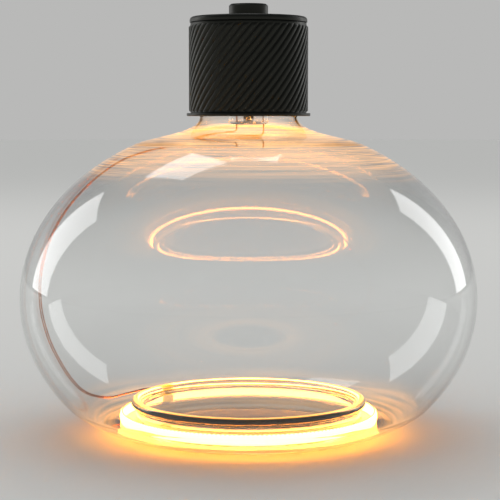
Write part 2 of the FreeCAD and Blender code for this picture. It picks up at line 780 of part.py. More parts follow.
def insert_screws():
    """Two screws that hold the insert to the top cap."""
    screws = []
    head_top = insert_plate - seat
    head_low = head_top - insert_screw_cap
    for y in (-insert_screw_out, insert_screw_out):
        shank = rod(insert_screw_r, 0, y, head_top, skirt_top + seat + insert_screw_grip)
        head = rod(insert_screw_head, 0, y, head_low, head_top)
        slot = block((0, y, head_low), (3 * insert_screw_head, slot_wide, 2 * slot_deep))
        screws.append(shank.fuse(head).cut(slot).Solids[0])
    return Part.makeCompound(screws)


def top_cap():
    """Turned lid of the holder with a spigot inside the skirt."""
    under = skirt_top + seat
    top = under + lid_thick
    spigot = skirt_bore - seat
    spigot_in, spigot_low = spigot - spigot_wall, under - spigot_high
    hole = bush_neck_r + fit
    edge_r = skirt_r - lid_in
    edges = chain((hole, under), (spigot_in, under), (spigot_in, spigot_low), (spigot, spigot_low),
                  (spigot, under), (edge_r, under), (edge_r, top - lid_round))
    edges.append(round_corner((edge_r - lid_round, top - lid_round), lid_round, 0, 90))
    edges += chain((edge_r - lid_round, top), (hole, top), (hole, under))
    body = turned(edges)
    for y in (-insert_screw_out, insert_screw_out):
        body = body.cut(rod(insert_screw_r + seat, 0, y, under - 1, under + insert_screw_grip + seat))
    return body.Solids[0]


def entry_bush():
    """Threaded bush that the cable or a pendant tube enters by."""
    flange_z = skirt_top + lid_thick + 2 * seat
    low, top = flange_z - bush_below, flange_z + bush_high
    return lathe((bush_bore, low), (bush_neck_r, low), (bush_neck_r, flange_z), (bush_flange_r, flange_z),
                 (bush_flange_r, top - bush_bevel), (bush_flange_r - bush_bevel, top),
                 (bush_bore + bush_bore_bevel, top), (bush_bore, top - bush_bore_bevel))


def build():
    return {
        "glass_envelope": glass_envelope(),
        "stem": stem(),
        "led_strip": led_strip(),
        "phosphor_band_outer": phosphor_band(1),
        "phosphor_band_inner": phosphor_band(-1),
        "strip_joint": strip_joint(),
        "lead_wire_plus": lead_wire(plus_in - stem_r, 1),
        "lead_wire_minus": lead_wire(stem_r - minus_in, -1),
        "cap_shell": cap_shell(),
        "cap_insulator": cap_insulator(),
        "cap_contact": cap_contact(),
        "cap_cement": cap_cement(),
        "driver_board": driver_board(),
        "smoothing_capacitor": smoothing_capacitor(),
        "choke": choke(),
        "fuse_resistor": fuse_resistor(),
        "bridge_rectifier": chip_block(bridge_turn, bridge_size),
        "driver_chip": chip_block(chip_turn, chip_size),
        "contact_wire": contact_wire(),
        "shell_wire": shell_wire(),
        "knurled_skirt": knurled_skirt(),
        "holder_shell": holder_shell(),
        "holder_insert": holder_insert(),
        "holder_contact": holder_contact(),
        "terminal_live": terminal_block(-terminal_out),
        "terminal_neutral": terminal_block(terminal_out),
        "terminal_screws": terminal_screws(),
        "insert_screws": insert_screws(),
        "top_cap": top_cap(),
        "entry_bush": entry_bush(),
    }


os.makedirs("parts", exist_ok=True)
for name, shape in build().items():
    shape.exportStep("parts/" + name + ".step")
    box = shape.BoundBox
    print(f"{name:22s} valid {shape.isValid()} solids {len(shape.Solids)} volume {shape.Volume:10.1f}"
          f"  z {box.ZMin:7.2f} to {box.ZMax:7.2f}  r {box.XMax:6.2f}")
print("foot ring radius", round(FOOT_R, 2), "strip radius", round(STRIP_R, 2))
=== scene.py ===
# %% [markdown]
# # A glass globe lamp with a glowing ring, in a knurled holder
#
# The object is a large clear globe lamp, 200 mm across, blown in one piece with a round plug pushed up in
# its floor. A flexible LED strip stands round that plug. The lamp is screwed into a black metal holder
# with slanted knurling. This lesson dresses a fixed CAD frame: the frame says where every piece is and
# what moves, and the cells below give each piece its surface, and a smoother mesh where glass or fine
# ridges need one. All lengths typed here are millimetres, and one factor turns them into metres.

# %% Load the frame
import bpy
from math import acos, asin, atan, ceil, cos, degrees, pi, radians, sin, sqrt, tan
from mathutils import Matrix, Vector


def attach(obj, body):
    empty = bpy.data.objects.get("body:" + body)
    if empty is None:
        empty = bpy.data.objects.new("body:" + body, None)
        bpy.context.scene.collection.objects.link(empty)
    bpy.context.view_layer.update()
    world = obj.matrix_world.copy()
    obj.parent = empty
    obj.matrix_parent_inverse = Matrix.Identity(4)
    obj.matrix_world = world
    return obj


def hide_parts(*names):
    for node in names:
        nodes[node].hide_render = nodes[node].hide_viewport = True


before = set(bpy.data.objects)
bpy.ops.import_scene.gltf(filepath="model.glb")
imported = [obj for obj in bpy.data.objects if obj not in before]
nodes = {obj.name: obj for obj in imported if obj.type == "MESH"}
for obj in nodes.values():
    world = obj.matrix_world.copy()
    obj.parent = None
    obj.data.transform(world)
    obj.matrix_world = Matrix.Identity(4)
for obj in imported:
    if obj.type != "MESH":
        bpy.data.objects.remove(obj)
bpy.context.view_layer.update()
MM, PER_METRE = 0.001, 1000

# %% [markdown]
# ## Colour and node helpers
#
# A material is a small graph of nodes. It could be wired by hand in the node editor, but in a script a few
# helpers keep it readable. Colours are written as sRGB hex values, as on a colour chart, and the first
# helper turns them into the linear light that nodes want. The second adds a node of any kind, sets its
# inputs and links it. The third starts a material with a Principled shader, and the last puts it on a piece.

# %% Colour and node helpers
def linear(hex_colour):
    """sRGB hex such as 'D8D6D2' to linear RGBA."""
    channels = [int(hex_colour[i:i + 2], 16) / 255 for i in (0, 2, 4)]
    return [c / 12.92 if c <= 0.04045 else ((c + 0.055) / 1.055) ** 2.4 for c in channels] + [1.0]


def add(tree, kind, settings=None, **inputs):
    """Adds a node. settings are its own options, inputs are values, or sockets to link from.

    An input goes by its name, or by i and its number where several inputs share a name."""
    node = tree.nodes.new(kind)
    for key, value in (settings or {}).items():
        setattr(node, key, value)
    for key, value in inputs.items():
        name = key.replace("_", " ")
        socket = node.inputs[int(key[1:])] if key[0] == "i" and key[1:].isdigit() else node.inputs[name]
        if isinstance(value, bpy.types.NodeSocket):
            tree.links.new(value, socket)
        else:
            socket.default_value = value
    return node


def start_material(name, **shader):
    """A material with one Principled shader. Returns the material, its tree and the shader."""
    material = bpy.data.materials.new(name)
    material.use_nodes = True
    tree = material.node_tree
    tree.nodes.clear()
    principled = add(tree, "ShaderNodeBsdfPrincipled", **shader)
    add(tree, "ShaderNodeOutputMaterial", Surface=principled.outputs["BSDF"])
    return material, tree, principled


def paint(piece, material):
    """Puts one material on a piece in place of what it had."""
    piece.data.materials.clear()
    piece.data.materials.append(material)


print("helpers ready, mid grey in linear light:", round(linear("808080")[0], 3))

# %% [markdown]
# ## A lathe for glass and metal
#
# Blown glass, glass tube and turned metal are surfaces of revolution. Blender's Screw modifier could turn
# them, but a lathe of our own decides every point. The profile is a list of radius and height. A point on
# the axis becomes a single vertex, so that the mesh closes without a pinched ring of doubled points.

# %% Lathe
ON_AXIS = 1e-6


def mesh_piece(name, vertices, faces, smooth=True):
    """A new object from vertices in millimetres."""
    mesh = bpy.data.meshes.new(name)
    mesh.from_pydata([(x * MM, y * MM, z * MM) for x, y, z in vertices], [], faces)
    mesh.validate()
    if smooth:
        mesh.shade_smooth()
    piece = bpy.data.objects.new(name, mesh)
    bpy.context.scene.collection.objects.link(piece)
    return piece


def lathe(name, profile, segments):
    """Turns a profile of (radius, height) about Z."""
    turns = [2 * pi * i / segments for i in range(segments)]
    vertices, rings, faces = [], [], []
    for r, z in profile:
        if r < ON_AXIS:
            rings.append([len(vertices)] * segments)
            vertices.append((0, 0, z))
            continue
        rings.append(list(range(len(vertices), len(vertices) + segments)))
        vertices += [(r * cos(turn), r * sin(turn), z) for turn in turns]
    for low, high in zip(rings, rings[1:]):
        for i in range(segments):
            j = (i + 1) % segments
            corners = list(dict.fromkeys((low[i], low[j], high[j], high[i])))
            if len(corners) > 2:
                faces.append(corners)
    return mesh_piece(name, vertices, faces)


print("lathe ready, one unit of a profile is", MM, "m")

# %% [markdown]
# ## Curves for the profiles
#
# A glass section is made of straight runs and arcs that meet without a corner. A curve object could draw it
# too, but an arc is how a mould is turned, and its points can be spaced evenly. Glass shows every uneven
# step in its reflections. So one function gives an arc, one a straight run, and one joins the runs.

# %% Arcs, straight runs and their joining
SAME_POINT = 1e-4


def arc_points(centre, radius, start, end, step=4.0):
    """Points along an arc, angles in degrees from the outward radius towards +Z."""
    count = max(2, ceil(abs(end - start) / step))
    angles = [radians(start + (end - start) * i / count) for i in range(count + 1)]
    return [(centre[0] + radius * cos(a), centre[1] + radius * sin(a)) for a in angles]


def straight(a, b, count):
    """Points of a straight run, with both ends."""
    return [(a[0] + (b[0] - a[0]) * i / count, a[1] + (b[1] - a[1]) * i / count) for i in range(count + 1)]


def joined(*runs):
    """Runs of points as one profile, without the repeated ends."""
    profile = []
    for run in runs:
        for point in run:
            if not profile or abs(point[0] - profile[-1][0]) + abs(point[1] - profile[-1][1]) > SAME_POINT:
                profile.append(point)
    return profile


print("a quarter turn at 4 degrees a step:", len(arc_points((0, 0), 1, 0, 90)), "points")

# %% [markdown]
# ## The skin of the globe
#
# The globe follows an ellipse of 200 by 155 mm. Near the top it leaves the ellipse and sweeps up into the
# neck, and near the bottom it turns in over a knee. One wall with a Solidify modifier would be quicker, but
# its edge at the neck would be square. Here both faces of the glass come from one function with an inset.
# The two reflections a millimetre apart, and the dark line where one looks along the wall, make it glass.

# %% Skin of the globe
WALL = 1.2
GLOBE_R, GLOBE_RISE, GLOBE_Z = 100.0, 77.5, 60.0
THROAT_R, THROAT_PULL, THROAT_STEPS = 50.0, 9.9, 32
NECK_R, NECK_Z, NECK_PULL = 21.3, 139.5, 7.7
KNEE_Z, KNEE_ROUND, KNEE_SLOPE, KNEE_STEP = 13.5, 20.0, 36.0, 1.5
SIDE_STEPS = 72


def throat(a, b, inset):
    """The sweep from the neck to the ellipse, a cubic curve that leaves both without a corner."""
    rise = b * sqrt(1 - (THROAT_R / a) ** 2)
    slope = atan((b / a) ** 2 * THROAT_R / rise)
    poles = [(NECK_R - inset, NECK_Z), (NECK_R - inset, NECK_Z - NECK_PULL - inset),
             (THROAT_R - THROAT_PULL * cos(slope), GLOBE_Z + rise + THROAT_PULL * sin(slope)),
             (THROAT_R, GLOBE_Z + rise)]
    run = []
    for i in range(THROAT_STEPS + 1):
        u = i / THROAT_STEPS
        weights = ((1 - u) ** 3, 3 * u * (1 - u) ** 2, 3 * u * u * (1 - u), u ** 3)
        run.append(tuple(sum(w * pole[k] for w, pole in zip(weights, poles)) for k in (0, 1)))
    return run, asin(rise / b)


def skin(inset):
    """The glass from the neck down to the end of the knee, at a depth inside its outer face."""
    a, b = GLOBE_R - inset, GLOBE_RISE - inset
    sweep, top = throat(a, b, inset)
    slope = atan(GLOBE_RISE / GLOBE_R / tan(asin((GLOBE_Z - KNEE_Z) / GLOBE_RISE)))
    low = atan(b / a / tan(slope))
    angles = [top - (top + low) * i / SIDE_STEPS for i in range(SIDE_STEPS + 1)]
    side = [(a * cos(angle), GLOBE_Z + b * sin(angle)) for angle in angles]
    bend = KNEE_ROUND - inset
    centre = (side[-1][0] - bend * sin(slope), side[-1][1] + bend * cos(slope))
    knee = arc_points(centre, bend, degrees(slope) - 90, KNEE_SLOPE - 90, KNEE_STEP)
    return joined(sweep, side, knee)


outer_skin, inner_skin = skin(0), skin(WALL)
print("points of the outer face:", len(outer_skin), "and of the inner face:", len(inner_skin))

# %% [markdown]
# ## The foot and the underside of the plug
#
# Past the knee the glass runs in to a ring-shaped foot, which is what the lamp stands on. Inside the foot
# the floor is pressed up into a round plug, hollow from below. The foot's radius isn't typed in. It follows
# from a single arc that has to meet the knee with one slope and the foot with another.

# %% Foot and recess
FOOT_SLOPE, FOOT_ROUND, FOOT_FLAT, FOOT_IN = 10.0, 2.0, 1.0, 1.0
PLUG_EDGE, PLUG_MIDDLE, RECESS_ROUND = 13.0, 14.2, 3.0


def sloped_arc(start, bend, slope_from, slope_to, step=1.0):
    """An arc under the globe that begins with one slope, in degrees, and ends with another."""
    centre = (start[0] - bend * sin(radians(slope_from)), start[1] + bend * cos(radians(slope_from)))
    return arc_points(centre, bend, slope_from - 90, slope_to - 90, step)


def dome(radius, edge, middle, count=10):
    """A shallow spherical lid from its edge to the axis."""
    rise = middle - edge
    ball = (radius ** 2 + rise ** 2) / (2 * rise)
    reaches = [radius * (1 - i / count) for i in range(count + 1)]
    return [(r, middle - ball + sqrt(ball ** 2 - r ** 2)) for r in reaches]


knee_out = outer_skin[-1]
spread = cos(radians(FOOT_SLOPE)) - cos(radians(KNEE_SLOPE))
BASE_BEND = (knee_out[1] - FOOT_ROUND * (1 - cos(radians(FOOT_SLOPE)))) / spread
base_out = sloped_arc(knee_out, BASE_BEND, KNEE_SLOPE, FOOT_SLOPE)
FOOT_R = base_out[-1][0] - FOOT_ROUND * sin(radians(FOOT_SLOPE))
RECESS_R = FOOT_R - FOOT_FLAT - FOOT_IN
lid_r, lid_under = RECESS_R - RECESS_ROUND, PLUG_EDGE - WALL
foot = joined(
    base_out,
    arc_points((FOOT_R, FOOT_ROUND), FOOT_ROUND, FOOT_SLOPE - 90, -90, step=3),
    [(FOOT_R - FOOT_FLAT, 0)],
    arc_points((FOOT_R - FOOT_FLAT, FOOT_IN), FOOT_IN, -90, -180, step=10),
    straight((RECESS_R, FOOT_IN), (RECESS_R, lid_under - RECESS_ROUND), 3),
    arc_points((lid_r, lid_under - RECESS_ROUND), RECESS_ROUND, 0, 90, step=8),
    dome(lid_r, lid_under, PLUG_MIDDLE - WALL))
print("foot ring radius:", round(FOOT_R, 2), "mm, recess radius:", round(RECESS_R, 2), "mm")

# %% [markdown]
# ## The floor and the rolled rim
#
# Inside, the glass floor meets the plug in a small round, and the plug ends in a proud rolled rim, the
# bright line that rings the plug in the picture. The rim could be a torus laid on the plug, but then the
# glass would have a seam inside it. It belongs to the profile instead, with tangent arcs on both sides.

# %% Floor, plug and rim
FLOOR_Z, FLOOR_ROUND, PLUG_TOP, RIM_ROUND, RIM_LEAN = 5.0, 1.5, 13.5, 2.0, 1.25
RIM_FROM, RIM_TO, RIM_TUCK, LID_TUCK = -62.0, 145.0, 1.6, 3.2
PLUG_R = RECESS_R + WALL
RIM = (RECESS_R + RIM_LEAN, PLUG_TOP)


def tangent_run(start, end, upright, count=8):
    """Points of an arc to a place that leaves its start upright, or else level."""
    across, rise = end[0] - start[0], end[1] - start[1]
    along, aside = (rise, across) if upright else (across, rise)
    bend = (along ** 2 + aside ** 2) / (2 * aside)
    run = []
    for i in range(count + 1):
        angle = asin(along / bend) * i / count
        on, off = bend * sin(angle), bend * (1 - cos(angle))
        run.append((start[0] + off, start[1] + on) if upright else (start[0] + on, start[1] + off))
    return run


knee_in, bend_in = inner_skin[-1], BASE_BEND - WALL
floor_slope = degrees(acos(cos(radians(KNEE_SLOPE)) + (knee_in[1] - FLOOR_Z) / bend_in))
base_in = sloped_arc(knee_in, bend_in, KNEE_SLOPE, floor_slope)
rim = arc_points(RIM, RIM_ROUND, RIM_FROM, RIM_TO, step=6)
rim_foot, lid_edge = (PLUG_R, rim[0][1] - RIM_TUCK), (rim[-1][0] - LID_TUCK, PLUG_EDGE)
inside = joined(
    base_in,
    straight(base_in[-1], (PLUG_R + FLOOR_ROUND, FLOOR_Z), 3),
    arc_points((PLUG_R + FLOOR_ROUND, FLOOR_Z + FLOOR_ROUND), FLOOR_ROUND, -90, -180, step=9),
    straight((PLUG_R, FLOOR_Z + FLOOR_ROUND), rim_foot, 2),
    tangent_run(rim_foot, rim[0], upright=True),
    rim,
    list(reversed(tangent_run(lid_edge, rim[-1], upright=False))),
    dome(*lid_edge, PLUG_MIDDLE))
print("rolled rim at radius:", round(RIM[0], 2), "mm, top at", PLUG_TOP + RIM_ROUND, "mm")

# %% [markdown]
# ## The neck
#
# The neck is drawn in over a round shoulder to a narrow tube, which ends in the cap of the lamp. A tube
# could be joined on as a second piece, but real glass has no seam there, so the neck belongs to the same
# profile. Only its lowest part shows, but the rest turns up in the reflections of the throat.

# %% Neck
SHOULDER_Z, SHOULDER_OUT, SHOULDER_IN = 144.0, 3.5, 3.0
TIP_R, TIP_Z = 11.2, 155.0
shoulder_at = (NECK_R - SHOULDER_OUT, SHOULDER_Z - SHOULDER_OUT)
hollow_at = (TIP_R + SHOULDER_IN, SHOULDER_Z + SHOULDER_IN)
neck = joined(
    [(NECK_R - WALL, NECK_Z)],
    arc_points(shoulder_at, SHOULDER_OUT - WALL, 0, 90, step=10),
    arc_points(hollow_at, SHOULDER_IN + WALL, -90, -180, step=10),
    [(TIP_R - WALL, TIP_Z), (TIP_R, TIP_Z)],
    arc_points(hollow_at, SHOULDER_IN, -180, -90, step=10),
    arc_points(shoulder_at, SHOULDER_OUT, 90, 0, step=10),
    [(NECK_R, NECK_Z)])
print("neck from", NECK_Z, "to", TIP_Z, "mm,", len(neck), "points")

# %% [markdown]
# ## Turning the globe
#
# The CAD solid is right in shape, but its mesh is coarse, and a coarse mesh breaks the mirror image of the
# LED ring into facets. So the same profile is turned here with many more steps and stands for the CAD node.
# It runs from the axis up the outside, over the neck and down the inside to the axis again.

# %% Turn the globe
GLOBE_STEPS = 232
profile = joined(list(reversed(joined(neck, outer_skin, foot))), joined(inner_skin, inside))
globe = lathe("blown_globe", profile, GLOBE_STEPS)
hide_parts("glass_envelope")
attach(globe, "bulb")
print("globe profile points:", len(profile), "faces:", len(globe.data.polygons))

# %% [markdown]
# ## Clear soda-lime glass
#
# Lamp globes are blown from soda-lime glass. Its IOR is 1.52, which makes about four percent of the light
# bounce off each face, and that is what shows the floating images of the ring. Blown glass has a fire
# polish, so its roughness is 0. A trace of iron tints thick glass grey-green. The shader's base colour
# would tint every crossing alike, so the colour comes from absorption inside the wall: it shows at the
# edges, where one looks along the glass.

# %% Glass material
def blown_glass(name, tint, per_metre):
    """Clear glass whose tint deepens with the way through it. Returns the material, its tree and shader."""
    material, tree, shader = start_material(
        name, Base_Color=linear("FFFFFF"), Roughness=0.0, IOR=1.52, Transmission_Weight=1.0)
    inside_glass = add(tree, "ShaderNodeVolumeAbsorption", Color=linear(tint), Density=per_metre)
    output = next(node for node in tree.nodes if node.type == "OUTPUT_MATERIAL")
    tree.links.new(inside_glass.outputs["Volume"], output.inputs["Volume"])
    return material, tree, shader


soda_lime, glass_tree, glass_shader = blown_glass("soda_lime_glass_blown", tint="C6CFCC", per_metre=60.0)
paint(globe, soda_lime)
print("glass on", globe.name, "with IOR", round(glass_shader.inputs["IOR"].default_value, 2))

# %% [markdown]
# ## Marks of the blowing lathe
#
# The side of the globe is blown and optically clean. The throat and the foot are drawn in and pressed while
# the glass turns, which leaves fine shallow rings round the axis, 1 to 3 mm apart. Rings in the mesh would
# need millions of faces. A wave texture would repeat like a record's groove. Noise that changes with radius
# and height, and only slowly round the axis, is uneven in the way of handwork.

# %% Rings round the axis
MARK_MM, MARK_SWING = 2.2, 1.4


def round_the_axis(tree, pitch_mm, swing):
    """Noise drawn out round the axis: pitch across the marks, swing for its change along them."""
    place = add(tree, "ShaderNodeTexCoord").outputs["Object"]
    parts = add(tree, "ShaderNodeSeparateXYZ", Vector=place)
    flat = add(tree, "ShaderNodeVectorMath", {"operation": "MULTIPLY"}, i0=place, i1=(1, 1, 0))
    reach = add(tree, "ShaderNodeVectorMath", {"operation": "LENGTH"}, i0=flat.outputs[0])
    facing = add(tree, "ShaderNodeVectorMath", {"operation": "NORMALIZE"}, i0=flat.outputs[0])
    turned = add(tree, "ShaderNodeVectorMath", {"operation": "SCALE"}, i0=facing.outputs[0], Scale=swing)
    along = add(tree, "ShaderNodeMath", {"operation": "SUBTRACT"},
                i0=reach.outputs["Value"], i1=parts.outputs["Z"])
    scaled = add(tree, "ShaderNodeMath", {"operation": "MULTIPLY"},
                 i0=along.outputs[0], i1=PER_METRE / pitch_mm)
    lift = add(tree, "ShaderNodeCombineXYZ", Z=scaled.outputs[0])
    where = add(tree, "ShaderNodeVectorMath", {"operation": "ADD"}, i0=turned.outputs[0], i1=lift.outputs[0])
    marks = add(tree, "ShaderNodeTexNoise", Vector=where.outputs[0], Scale=1.0, Detail=2.0)
    return marks.outputs[0], parts.outputs["Z"], reach.outputs["Value"]


marks, height, reach = round_the_axis(glass_tree, MARK_MM, MARK_SWING)
print("rings every", MARK_MM, "mm")

# %% [markdown]
# ## Where the glass was worked
#
# The rings belong to the throat and the foot, and the painted glow that comes after them to a few narrower
# places.
# Painted masks would need an image. Here a mask is a ramp: it is 0 at one height above the floor, or one
# reach from the axis, and 1 at another. The table gives both in millimetres, and two ramps make a band.

# %% Masks by height and reach
mask = {}
for name, place, empty, full in (
        ("throat", height, 110, 122), ("foot", height, 12, 5), ("below the skirt", height, 141, 132),
        ("crest of the rim", height, 14.95, 15.35), ("no higher than the rim", height, 22, 18),
        ("no wider than the rim", reach, 54, 52.5), ("neck bend from below", height, 129.5, 131),
        ("neck bend from above", height, 135, 133.5), ("low on the base", height, 17, 7),
        ("outside the band", reach, 57, 61)):
    mask[name] = add(glass_tree, "ShaderNodeMapRange", {"interpolation_type": "SMOOTHSTEP"}, Value=place,
                     From_Min=empty * MM, From_Max=full * MM).outputs[0]
print("masks:", ", ".join(mask))

# %% [markdown]
# ## Rings you can feel
#
# A fingertip would just feel the rings: they are about a hundredth of a millimetre deep. Displacement could
# push the faces, but a bump bends only the reflections, which is all one sees of so shallow a mark.

# %% Relief of the rings
MARK_DEPTH_MM = 0.012
worked = add(glass_tree, "ShaderNodeMath", {"operation": "MAXIMUM"}, i0=mask["throat"], i1=mask["foot"])
ringed = add(glass_tree, "ShaderNodeMath", {"operation": "MULTIPLY"}, i0=marks, i1=worked.outputs[0])
relief = add(glass_tree, "ShaderNodeBump", Strength=1.0, Distance=MARK_DEPTH_MM * MM,
             Height=ringed.outputs[0])
glass_tree.links.new(relief.outputs["Normal"], glass_shader.inputs["Normal"])
print("rings", MARK_DEPTH_MM, "mm deep in the throat and the foot")

# %% [markdown]
# ## The ring's light in the glass, as a painted glow
#
# The glass carries light of the ring along its wall. It lets it out at the rings, where it makes the amber
# streaks under the holder, at the crest of the rolled rim, where the wall bends into the neck, and on the
# base beside the band. A ring bright enough to do this by reflection alone would burn out a pale floor. So
# a weak amber emission painted into the glass stands for it, a painted glow and painted reflection of the
# ring: each row of the table is one place, with its strength and the shares that are multiplied there.

# %% Painted amber glow at the marks
STREAK_MM, STREAK_SWING = 1.0, 1.3
streaks, *_ = round_the_axis(glass_tree, STREAK_MM, STREAK_SWING)
sharp = add(glass_tree, "ShaderNodeMapRange", Value=streaks, From_Min=0.36, From_Max=0.78).outputs[0]
painted_glow = 0.0
# Painted light: each row adds amber emission to the glass, a painted glow for the ring's light there.
for strength, shares in (
        (0.42, (sharp, mask["throat"], mask["below the skirt"])),
        (1.6, (mask["crest of the rim"], mask["no higher than the rim"], mask["no wider than the rim"])),
        (0.6, (streaks, mask["neck bend from below"], mask["neck bend from above"])),
        (0.5, (sharp, mask["low on the base"], mask["outside the band"]))):
    share = shares[0]
    for other in shares[1:]:
        share = add(glass_tree, "ShaderNodeMath", {"operation": "MULTIPLY"}, i0=share, i1=other).outputs[0]
    painted_glow = add(glass_tree, "ShaderNodeMath", {"operation": "MULTIPLY_ADD"},
                  i0=share, i1=strength, i2=painted_glow).outputs[0]
glass_tree.links.new(painted_glow, glass_shader.inputs["Emission Strength"])
glass_shader.inputs["Emission Color"].default_value = linear("FFB04A")
print("streaks every", STREAK_MM, "mm, nodes in the glass:", len(glass_tree.nodes))

# %% [markdown]
# ## Glass stem
#
# The stem is a drawn tube of lead glass, which is softer to work and carries the wires into the lamp. From
# outside one sees its rounded end as a bright ring in the neck. The CAD piece could stay, but its facets
# would break that ring, so it is turned again, from its closed lower end up to the flare and back down the
# inside. Lead glass bends light a little more than the globe does, which is lost on so small a piece, so
# both share one function.

# %% Turn the stem
SEAT = 0.1
STEM_R, STEM_WALL, STEM_LOW, STEM_ROUND, STEM_FLAT_R = 9.0, 1.0, 134.6, 2.2, 3.0
FLARE_Z, FLARE_HIGH, EXHAUST_R, EXHAUST_TOP, STEM_STEPS = 149.0, 1.0, 2.2, 157.0, 96
stem_turn = (STEM_R - STEM_ROUND, STEM_LOW + STEM_ROUND)
flare_r = TIP_R - WALL - SEAT
stem = lathe("stem_tube", joined(
    [(0, STEM_LOW), (STEM_FLAT_R, STEM_LOW)],
    arc_points(stem_turn, STEM_ROUND, -90, 0, step=8),
    [(STEM_R, FLARE_Z), (flare_r, TIP_Z - FLARE_HIGH), (flare_r, TIP_Z), (flare_r - STEM_WALL, TIP_Z),
     (STEM_R - STEM_WALL, FLARE_Z)],
    arc_points(stem_turn, STEM_ROUND - STEM_WALL, 0, -90, step=10),
    [(EXHAUST_R, STEM_LOW + STEM_WALL)],
    arc_points((0, EXHAUST_TOP - EXHAUST_R), EXHAUST_R, 0, 90, step=10)), STEM_STEPS)
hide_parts("stem")
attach(stem, "bulb")
paint(stem, blown_glass("lead_glass_drawn", tint="C8D2D0", per_metre=30.0)[0])
print("stem faces:", len(stem.data.polygons))

# %% [markdown]
# ## The knurled skirt
#
# The skirt is turned and then knurled with slanted round ridges, 46 of them, at about 40 degrees to the
# axis. A bump would leave its outline smooth, so the ridges are in the mesh. Every row of points is turned
# a little further than the row below, so the edges of the mesh run along the ridges and each ridge keeps a
# clean round section.

# %% Knurl the skirt
SKIRT_LOW, SKIRT_TOP, SKIRT_R, SKIRT_BORE = 139.5, 180.0, 26.0, 23.6
LIP_R, LIP_HIGH, LIP_BREAK, LIP_FILLET = 27.0, 1.3, 0.2, 0.1
PLAIN_LOW, PLAIN_HIGH, EDGE_BREAK = 0.35, 1.2, 0.3
RIDGES, RIDGE_RISE, RIDGE_LEAN, RIDGE_END, RIDGE_FULL = 46, 0.75, 40.0, 0.7, 3
PER_RIDGE, RIDGE_ROWS, LAST_STEP = 10, 48, 0.02


def skirt_rows(low, high):
    """Radius, height and share of the ridge for each row, from the bore round the outside and back."""
    root, lip_top = SKIRT_R - RIDGE_RISE, SKIRT_LOW + LIP_HIGH
    rows = [(SKIRT_BORE, SKIRT_LOW, 0), (LIP_R - EDGE_BREAK, SKIRT_LOW, 0),
            (LIP_R, SKIRT_LOW + EDGE_BREAK, 0), (LIP_R, lip_top - LIP_BREAK, 0),
            (LIP_R - LIP_BREAK, lip_top, 0), (root + LIP_FILLET, lip_top, 0),
            (root, lip_top + LIP_FILLET, 0), (root, low, 0)]
    for i in range(RIDGE_ROWS + 1):
        z = low + (high - low) * i / RIDGE_ROWS
        rows.append((root, z, min(1, (z - low) / RIDGE_END, (high - z) / RIDGE_END)))
    return rows + [(root, high + LAST_STEP, 0), (root, SKIRT_TOP - EDGE_BREAK, 0),
                   (root - EDGE_BREAK, SKIRT_TOP, 0), (SKIRT_BORE, SKIRT_TOP, 0)]


def knurled_skirt(name):
    """The skirt, each row of its points turned a little further than the row below."""
    low, high = SKIRT_LOW + LIP_HIGH + PLAIN_LOW, SKIRT_TOP - PLAIN_HIGH
    rows, segments = skirt_rows(low, high), RIDGES * PER_RIDGE
    vertices, faces = [], []
    for r, z, height in rows:
        twist = (z - low) * tan(radians(RIDGE_LEAN)) / SKIRT_R
        for i in range(segments):
            swell = 1 - abs(2 * (i % PER_RIDGE) / PER_RIDGE - 1) ** RIDGE_FULL
            angle, reach = 2 * pi * i / segments + twist, r + RIDGE_RISE * height * swell
            vertices.append((reach * cos(angle), reach * sin(angle), z))
    for k in range(len(rows)):
        first, second = k * segments, (k + 1) % len(rows) * segments
        for i in range(segments):
            j = (i + 1) % segments
            faces.append((first + i, first + j, second + j, second + i))
    return mesh_piece(name, vertices, faces)


skirt = knurled_skirt("reeded_skirt")
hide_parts("knurled_skirt")
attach(skirt, "holder")
print("ridges:", RIDGES, "skirt faces:", len(skirt.data.polygons))

# %% [markdown]
# ## Black anodised aluminium
#
# The holder is turned from aluminium and anodised black. Anodising grows a thin clear oxide that holds the
# dye. A metal shader in black would look like dark chrome, but the oxide reflects like a dielectric: deep
# black seen straight on, and a soft grey-green sheen on the flanks, where the light grazes the ridges. Real
# lines of a turning tool are about 0.1 mm apart, too fine for the picture, so the bump draws them 0.35 mm
# apart. Handling has polished the metal in patches of about 9 mm, which a noise in the roughness shows.

# %% Black metal
def turned_black(name, deep, worn, rough, line_mm, round_mm=25, patch_mm=9):
    """Dyed oxide on turned metal: tool lines round the axis, and patches polished by hands."""
    material, tree, shader = start_material(
        name, Roughness=rough, Specular_IOR_Level=0.38, Specular_Tint=linear("F1F3E2"))
    place = add(tree, "ShaderNodeTexCoord").outputs["Object"]
    stretch = add(tree, "ShaderNodeMapping", Vector=place,
                  Scale=(PER_METRE / round_mm, PER_METRE / round_mm, PER_METRE / line_mm))
    lines = add(tree, "ShaderNodeTexNoise", Vector=stretch.outputs["Vector"], Scale=1.0, Detail=3.0)
    bump = add(tree, "ShaderNodeBump", Strength=0.25, Distance=0.02 * MM, Height=lines.outputs[0])
    patches = add(tree, "ShaderNodeTexNoise", Vector=place, Scale=PER_METRE / patch_mm, Detail=4.0)
    tone = add(tree, "ShaderNodeMix", {"data_type": "RGBA"}, i0=patches.outputs[0], i6=linear(deep),
               i7=linear(worn))
    sheen = add(tree, "ShaderNodeMapRange", Value=patches.outputs[0], From_Min=0.3, From_Max=0.7,
                To_Min=rough - 0.06, To_Max=rough + 0.08)
    for output, socket in ((bump.outputs["Normal"], "Normal"), (tone.outputs[2], "Base Color"),
                           (sheen.outputs[0], "Roughness")):
        tree.links.new(output, shader.inputs[socket])
    return material


black = turned_black("black_anodised_aluminium_turned", "080908", "131412", rough=0.38, line_mm=0.35)
for piece in (skirt, nodes["top_cap"], nodes["entry_bush"]):
    paint(piece, black)
print("black metal on skirt, top cap and bush")
